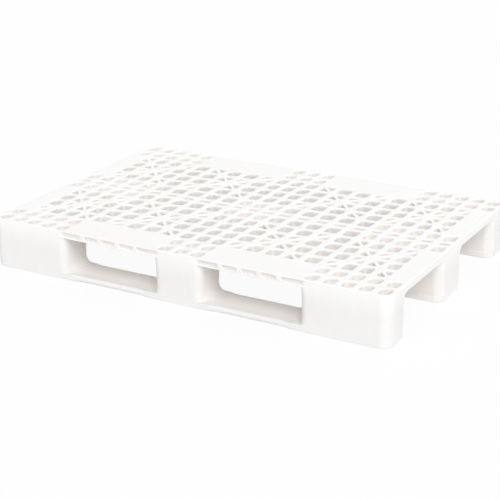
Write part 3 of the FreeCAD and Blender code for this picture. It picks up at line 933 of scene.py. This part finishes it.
def moulding_group():
    """Moulded polyethylene: darker towards the bottom, with painted shade where sheltered, cloudy
    mottling, scuffs and painted light lines along the ribs.
    """
    graph, given, result = new_group(
        "moulding",
        {"Base Colour": POLYETHYLENE, "Lower Colour": LOWER_POLYETHYLENE,
         "Lower Fade Top": DECK_TOP - 4 * MM, "Lower Fade Bottom": DECK_TOP / 2,
         "Painted Shade Colour": SHADED_POLYETHYLENE, "Age": 0.0,
         "Cloud": 0.03, "Scuff": 0.05, "Rib Pitch": 48 * MM, "Rib Start": 0.0,
         "Rib Line Width": 2 * MM, "Rib Light": 0.0},
        {"Colour": "NodeSocketColor", "Roughness": "NodeSocketFloat",
         "Height": "NodeSocketFloat"})
    place = graph.node("ShaderNodeTexCoord").outputs["Object"]
    cloud = graph.noise(place, *CLOUDS)
    blotch = graph.noise(place, *BLOTCHES)
    # Painted shade: the sheltered share, clouded, tints the colour towards the shade colour.
    clouded = graph.math("MULTIPLY", cloud, CLOUDED_SHADE)
    painted_shade = graph.math("MULTIPLY", given["Age"], graph.math("ADD", EVEN_SHADE, clouded))
    # Darker towards the bottom: the lower colour up to half the deck's height, fading to the base
    # colour just below the top.
    upper_share = graph.fade(graph.split(place)["Z"], given["Lower Fade Bottom"], given["Lower Fade Top"])
    outer = graph.blend(upper_share, given["Lower Colour"], given["Base Colour"])
    shaded = graph.blend(graph.math("MINIMUM", painted_shade, 1.0), outer, given["Painted Shade Colour"])
    mottle = graph.math("SUBTRACT", graph.math("ADD", cloud, blotch), 1.0)
    shade = graph.math("MULTIPLY", mottle, given["Cloud"])
    stretch = graph.node("ShaderNodeMapping")
    graph.feed(stretch.inputs["Vector"], place)
    graph.feed(stretch.inputs["Scale"], SCRATCH_STRETCH)
    scratch = graph.noise(stretch.outputs[0], *SCRATCHES)
    scuff = graph.fade(scratch, SCRATCH_SEEN_FROM, SCRATCH_FULL_FROM)
    shade = graph.math("SUBTRACT", shade, graph.math("MULTIPLY", scuff, given["Scuff"]))
    # Painted light: brighter vertical lines at the rib pitch across the pieces' faces.
    across = graph.math("ABSOLUTE", graph.split(place)["X"])
    step = graph.math("SUBTRACT", across, given["Rib Start"])
    nearest = graph.math("PINGPONG", step, graph.math("MULTIPLY", given["Rib Pitch"], 0.5))
    line = graph.math("SUBTRACT", 1.0, graph.fade(nearest, 0.0, given["Rib Line Width"]))
    rib_light = graph.math("MULTIPLY", line, given["Rib Light"])
    brightness = graph.math("ADD", 1.0, graph.math("ADD", shade, rib_light))
    tone = graph.node("ShaderNodeVectorMath", operation="SCALE")
    graph.feed(tone.inputs[0], shaded)
    graph.feed(tone.inputs["Scale"], brightness)
    graph.feed(result["Colour"], tone.outputs[0])
    rough = graph.math("ADD", ROUGHNESS, graph.math("MULTIPLY", blotch, BLOTCH_ROUGHNESS))
    rougher = graph.math("MULTIPLY", scuff, SCUFF_ROUGHNESS)
    graph.feed(result["Roughness"], graph.math("ADD", rough, rougher))
    grain = graph.noise(place, *GRAIN)
    graph.feed(result["Height"],
               graph.math("ADD", graph.math("MULTIPLY", grain, GRAIN_HEIGHT),
                          graph.math("MULTIPLY", blotch, BLOTCH_HEIGHT)))
    return graph.tree


def polyethylene(name, shelter, moulding, sheltered, finish):
    """White moulded plastic, tinted with painted shade where it is sheltered from light."""
    material = bpy.data.materials.new(name)
    material.use_nodes = True
    graph = Graph(material.node_tree)
    shader = graph.tree.nodes["Principled BSDF"]
    cover = graph.node("ShaderNodeGroup", node_tree=shelter)
    body = graph.node("ShaderNodeGroup", node_tree=moulding)
    for group, settings in ((cover, sheltered), (body, finish)):
        for label, value in settings.items():
            graph.feed(group.inputs[label], value)
    # The shelter mask sets how much painted shade the plastic takes.
    graph.feed(body.inputs["Age"], cover.outputs["Shelter"])
    bump = graph.node("ShaderNodeBump")
    graph.feed(bump.inputs["Strength"], BUMP_STRENGTH)
    graph.feed(bump.inputs["Distance"], BUMP_DISTANCE)
    graph.feed(bump.inputs["Height"], body.outputs["Height"])
    graph.feed(shader.inputs["Base Color"], body.outputs["Colour"])
    graph.feed(shader.inputs["Roughness"], body.outputs["Roughness"])
    graph.feed(shader.inputs["Normal"], bump.outputs["Normal"])
    return material


def zinc_steel():
    """Zinc-plated screw steel with a soft spangle."""
    material = bpy.data.materials.new("zinc_plated_steel")
    material.use_nodes = True
    graph = Graph(material.node_tree)
    shader = graph.tree.nodes["Principled BSDF"]
    place = graph.node("ShaderNodeTexCoord").outputs["Object"]
    spangle = graph.noise(place, *SPANGLES)
    colour = graph.blend(spangle, DULL_ZINC, BRIGHT_ZINC)
    graph.feed(shader.inputs["Base Color"], colour)
    rougher = graph.math("MULTIPLY", spangle, SPANGLE_ROUGHNESS)
    graph.feed(shader.inputs["Roughness"], graph.math("ADD", ZINC_ROUGHNESS, rougher))
    graph.feed(shader.inputs["Metallic"], 1.0)
    return material


# ---------------------------------------------------------------- the scene
add_camera()
add_world()
add_lamps()
add_floor()

SHELTER = shelter_group()
MOULDING = moulding_group()
# Painted shade under the deck: everything below its top, fading in from 6 to 40 mm inside the plan.
UNDER_DECK = {"Depth Start": -1 * MM, "Depth End": 0.0, "Inside Start": 6 * MM,
              "Inside End": 40 * MM}
END_PITCH = (HALF_LENGTH - END_MARGIN - END_FOOT_INNER) / END_COLUMNS
MIDDLE_PITCH = MIDDLE_FOOT_LENGTH / MIDDLE_COLUMNS
# The deck takes a darker painted shade in its holes, recesses and underside, and a little over the
# fork bays.
deck_plastic = polyethylene("deck_polyethylene", SHELTER, MOULDING, {"Bay Share": DECK_BAY_SHADE},
                            {"Painted Shade Colour": DECK_SHADE_POLYETHYLENE})
end_foot_plastic = polyethylene("end_foot_polyethylene", SHELTER, MOULDING, UNDER_DECK,
                                {"Rib Pitch": END_PITCH, "Rib Start": END_FOOT_INNER,
                                 "Rib Light": RIB_LIGHT})
middle_foot_plastic = polyethylene("middle_foot_polyethylene", SHELTER, MOULDING, UNDER_DECK,
                                   {"Rib Pitch": MIDDLE_PITCH,
                                    "Rib Start": MIDDLE_PITCH / 2,
                                    "Rib Light": RIB_LIGHT})
runner_plastic = polyethylene("runner_polyethylene", SHELTER, MOULDING, UNDER_DECK, {})
screw_steel = zinc_steel()

add_deck(deck_plastic)
for foot_name, foot_plan in foot_plans().items():
    middle = foot_name.endswith("centre")
    add_foot(foot_name, foot_plan, middle_foot_plastic if middle else end_foot_plastic)
for runner_row in ROW_NAMES:
    add_runner(runner_row, runner_plastic)
for node_name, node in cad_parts.items():
    if "screws" in node_name:
        node.data.materials.clear()
        node.data.materials.append(screw_steel)

scene = bpy.context.scene
scene.view_settings.view_transform = "Standard"
